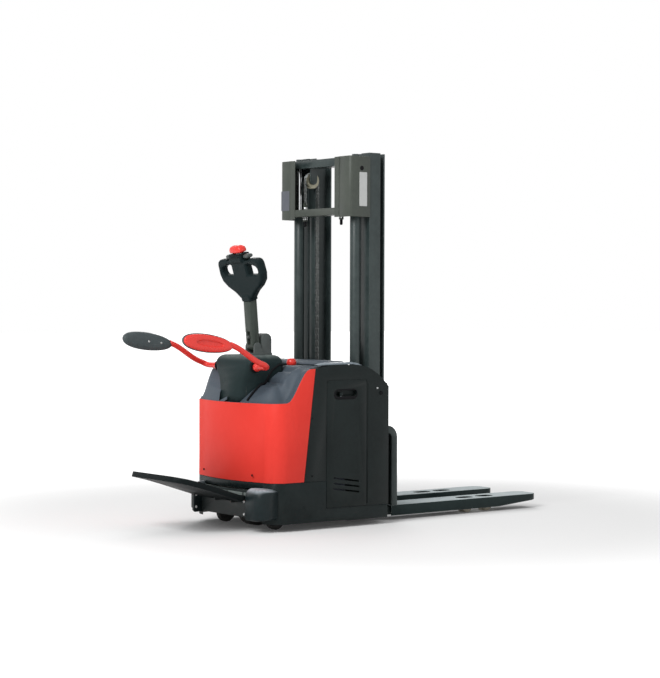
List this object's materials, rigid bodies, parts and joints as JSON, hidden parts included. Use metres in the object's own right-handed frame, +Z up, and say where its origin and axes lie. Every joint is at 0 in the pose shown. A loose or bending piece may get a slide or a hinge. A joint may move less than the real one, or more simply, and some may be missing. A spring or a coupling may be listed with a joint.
{
  "type": "walkie stacker",
  "caption": "Battery-electric pedestrian stacker with telescopic mast, wrap-over forks on support legs, steering tiller, folding side arms and sprung rider platform.",
  "frame": {"origin": "centre of the bounding box in plan, on the floor", "axes": "+X towards the fork tips, +Y to the machine's left, +Z up"},
  "size_m": [2.634, 0.8006, 2.112],
  "materials": {
    "red_cover": "moulded, satin gloss",
    "red_steel": "gloss paint",
    "dark_frame": "textured paint",
    "mast_paint": "satin paint, worn edges",
    "fork_paint": "satin paint, scuffed top",
    "black_panel": "fine textured paint",
    "black_plastic": "grained",
    "dark_plastic": "grained",
    "console_plastic": "grained",
    "grey_plastic": "satin",
    "yellow_plastic": "satin",
    "pad_rubber": "soft, finely grained",
    "chrome_rod": "polished",
    "steel": "turned and ground",
    "chain_steel": "oiled",
    "brass_pulley": "dull",
    "nylon": "cast nylon",
    "drive_tyre": "bonded tread",
    "grey_tyre": "moulded",
    "cast_housing": "painted casting",
    "motor_paint": "satin paint",
    "battery_case": "moulded",
    "heat_sink": "cast"
  },
  "bodies": {
    "chassis": {"chassis_frame": "dark_frame", "leg_left": "mast_paint", "leg_right": "mast_paint", "outer_rail_left": "mast_paint", "outer_rail_right": "mast_paint", "mast_yoke": "mast_paint", "lift_cylinder_left": "mast_paint", "lift_cylinder_right": "mast_paint", "drive_cover": "red_cover", "lower_skirt": "black_panel", "side_panel_left": "black_panel", "side_panel_right": "black_panel", "console": "console_plastic", "stop_collar": "yellow_plastic", "tiller_hood": "dark_plastic", "platform_bracket": "dark_frame", "battery": "battery_case", "hydraulic_unit": "motor_paint", "motor_controller": "heat_sink"},
    "inner_mast": {"inner_mast": "mast_paint", "lift_rod_left": "chrome_rod", "lift_rod_right": "chrome_rod", "lift_chain_left": "chain_steel", "lift_chain_right": "chain_steel"},
    "carriage": {"fork_frame": "mast_paint", "fork_left": "fork_paint", "fork_right": "fork_paint"},
    "steering": {"drive_gearbox": "cast_housing", "drive_motor": "motor_paint", "steering_column": "dark_frame"},
    "drive_wheel": {"drive_wheel": "drive_tyre"},
    "tiller": {"tiller_arm": "dark_frame", "tiller_head": "dark_plastic"},
    "throttle": {"throttle_wings": "black_plastic"},
    "reverse_button": {"reverse_button": "red_cover"},
    "lift_rocker": {"lift_rocker": "grey_plastic"},
    "horn_button": {"horn_button": "yellow_plastic"},
    "key": {"key": "steel"},
    "stop_button": {"stop_button": "red_cover"},
    "platform": {"platform": "black_plastic"},
    "side_door": {"side_door": "black_panel"},
    "battery_lid": {"battery_lid": "black_panel"},
    "chain_pulley_left": {"chain_pulley_left": "brass_pulley"},
    "carriage_roller_left_1": {"carriage_roller_left_1": "steel"},
    "carriage_roller_left_2": {"carriage_roller_left_2": "steel"},
    "load_roller_left_1": {"load_roller_left_1": "nylon"},
    "load_roller_left_2": {"load_roller_left_2": "nylon"},
    "chain_pulley_right": {"chain_pulley_right": "brass_pulley"},
    "carriage_roller_right_1": {"carriage_roller_right_1": "steel"},
    "carriage_roller_right_2": {"carriage_roller_right_2": "steel"},
    "load_roller_right_1": {"load_roller_right_1": "nylon"},
    "load_roller_right_2": {"load_roller_right_2": "nylon"},
    "side_arm_left": {"side_arm_left": "red_steel", "arm_pad_left": "pad_rubber"},
    "side_arm_right": {"side_arm_right": "red_steel", "arm_pad_right": "pad_rubber"},
    "caster_fork_left": {"caster_fork_left": "steel"},
    "caster_wheel_left": {"caster_wheel_left": "grey_tyre"},
    "caster_fork_right": {"caster_fork_right": "steel"},
    "caster_wheel_right": {"caster_wheel_right": "grey_tyre"}
  },
  "joints": [
    {"name": "mast_lift", "type": "slide", "parent": "chassis", "child": "inner_mast", "axis": [0, 0, 1], "range_m": [0, 1.45]},
    {"name": "carriage_lift", "type": "slide", "parent": "inner_mast", "child": "carriage", "axis": [0, 0, 1], "range_m": [0, 1.45], "deforming": ["lift_chain_left", "lift_chain_right"]},
    {"name": "chain_pulley_turn_left", "type": "hinge", "parent": "inner_mast", "child": "chain_pulley_left", "pos_m": [-0.1, 0.172, 1.975], "axis": [0, 1, 0], "range_deg": [-1850, 0]},
    {"name": "carriage_roller_left_1_spin", "type": "hinge", "parent": "carriage", "child": "carriage_roller_left_1", "pos_m": [-0.0035, 0.208, 0.15], "axis": [0, 1, 0], "continuous": true},
    {"name": "carriage_roller_left_2_spin", "type": "hinge", "parent": "carriage", "child": "carriage_roller_left_2", "pos_m": [-0.0035, 0.208, 0.43], "axis": [0, 1, 0], "continuous": true},
    {"name": "load_roller_left_1_spin", "type": "hinge", "parent": "chassis", "child": "load_roller_left_1", "pos_m": [0.782, 0.198, 0.039], "axis": [0, 1, 0], "continuous": true},
    {"name": "load_roller_left_2_spin", "type": "hinge", "parent": "chassis", "child": "load_roller_left_2", "pos_m": [0.942, 0.198, 0.039], "axis": [0, 1, 0], "continuous": true},
    {"name": "chain_pulley_turn_right", "type": "hinge", "parent": "inner_mast", "child": "chain_pulley_right", "pos_m": [-0.1, -0.172, 1.975], "axis": [0, 1, 0], "range_deg": [-1850, 0]},
    {"name": "carriage_roller_right_1_spin", "type": "hinge", "parent": "carriage", "child": "carriage_roller_right_1", "pos_m": [-0.0035, -0.208, 0.15], "axis": [0, 1, 0], "continuous": true},
    {"name": "carriage_roller_right_2_spin", "type": "hinge", "parent": "carriage", "child": "carriage_roller_right_2", "pos_m": [-0.0035, -0.208, 0.43], "axis": [0, 1, 0], "continuous": true},
    {"name": "load_roller_right_1_spin", "type": "hinge", "parent": "chassis", "child": "load_roller_right_1", "pos_m": [0.782, -0.198, 0.039], "axis": [0, 1, 0], "continuous": true},
    {"name": "load_roller_right_2_spin", "type": "hinge", "parent": "chassis", "child": "load_roller_right_2", "pos_m": [0.942, -0.198, 0.039], "axis": [0, 1, 0], "continuous": true},
    {"name": "steer", "type": "hinge", "parent": "chassis", "child": "steering", "pos_m": [-0.618, 0, 0.3], "axis": [0, 0, 1], "range_deg": [-80, 80]},
    {"name": "drive_wheel_spin", "type": "hinge", "parent": "steering", "child": "drive_wheel", "pos_m": [-0.618, 0, 0.115], "axis": [0, 1, 0], "continuous": true},
    {"name": "tiller_tilt", "type": "hinge", "parent": "steering", "child": "tiller", "pos_m": [-0.638, 0, 1.012], "axis": [0, -1, 0], "range_deg": [0, 60], "stiffness_Nm_per_rad": 34, "springref_deg": -9.17},
    {"name": "throttle_turn", "type": "hinge", "parent": "tiller", "child": "throttle", "pos_m": [-0.73527, 0, 1.5179], "axis": [0, 1, 0], "range_deg": [-25, 25], "stiffness_Nm_per_rad": 0.4},
    {"name": "reverse_press", "type": "slide", "parent": "tiller", "child": "reverse_button", "axis": [0.2924, 0, -0.9563], "range_m": [0, 0.004], "stiffness_N_per_m": 900, "springref_m": -0.003},
    {"name": "lift_rocker_tip", "type": "hinge", "parent": "tiller", "child": "lift_rocker", "pos_m": [-0.67814, 0, 1.39943], "axis": [-0.2924, 0, 0.9563], "range_deg": [-8, 8], "stiffness_Nm_per_rad": 0.4},
    {"name": "horn_press", "type": "slide", "parent": "tiller", "child": "horn_button", "axis": [-0.9563, 0, -0.2924], "range_m": [0, 0.003], "stiffness_N_per_m": 400, "springref_m": -0.001},
    {"name": "key_turn", "type": "hinge", "parent": "chassis", "child": "key", "pos_m": [-0.438, 0.06, 0.918], "axis": [0, 0, 1], "range_deg": [0, 90]},
    {"name": "stop_press", "type": "slide", "parent": "chassis", "child": "stop_button", "axis": [0, 0, -1], "range_m": [0, 0.006]},
    {"name": "side_arm_fold_left", "type": "hinge", "parent": "chassis", "child": "side_arm_left", "pos_m": [-0.748, 0.305, 0.9], "axis": [0, -1, 0], "range_deg": [0, 90]},
    {"name": "side_arm_fold_right", "type": "hinge", "parent": "chassis", "child": "side_arm_right", "pos_m": [-0.748, -0.305, 0.9], "axis": [0, -1, 0], "range_deg": [0, 90]},
    {"name": "platform_fold", "type": "hinge", "parent": "chassis", "child": "platform", "pos_m": [-0.84, 0, 0.177], "axis": [0, 1, 0], "range_deg": [-18, 70], "stiffness_Nm_per_rad": 60, "springref_deg": 17.76},
    {"name": "caster_swivel_left", "type": "hinge", "parent": "chassis", "child": "caster_fork_left", "pos_m": [-0.628, 0.24, 0.15], "axis": [0, 0, 1], "continuous": true},
    {"name": "caster_wheel_spin_left", "type": "hinge", "parent": "caster_fork_left", "child": "caster_wheel_left", "pos_m": [-0.658, 0.24, 0.058], "axis": [0, 1, 0], "continuous": true},
    {"name": "caster_swivel_right", "type": "hinge", "parent": "chassis", "child": "caster_fork_right", "pos_m": [-0.628, -0.24, 0.15], "axis": [0, 0, 1], "continuous": true},
    {"name": "caster_wheel_spin_right", "type": "hinge", "parent": "caster_fork_right", "child": "caster_wheel_right", "pos_m": [-0.658, -0.24, 0.058], "axis": [0, 1, 0], "continuous": true},
    {"name": "side_door_open", "type": "hinge", "parent": "chassis", "child": "side_door", "pos_m": [-0.278, -0.4, 0.116], "axis": [1, 0, 0], "range_deg": [0, 80]},
    {"name": "battery_lid_open", "type": "hinge", "parent": "chassis", "child": "battery_lid", "pos_m": [-0.226, 0, 0.903], "axis": [0, 1, 0], "range_deg": [0, 80]}
  ],
  "couplings": [
    {"joint": "carriage_lift", "follows": "mast_lift", "ratio": 1},
    {"joint": "chain_pulley_turn_left", "follows": "mast_lift", "rad_per_m": -22.222},
    {"joint": "chain_pulley_turn_right", "follows": "mast_lift", "rad_per_m": -22.222}
  ]
}
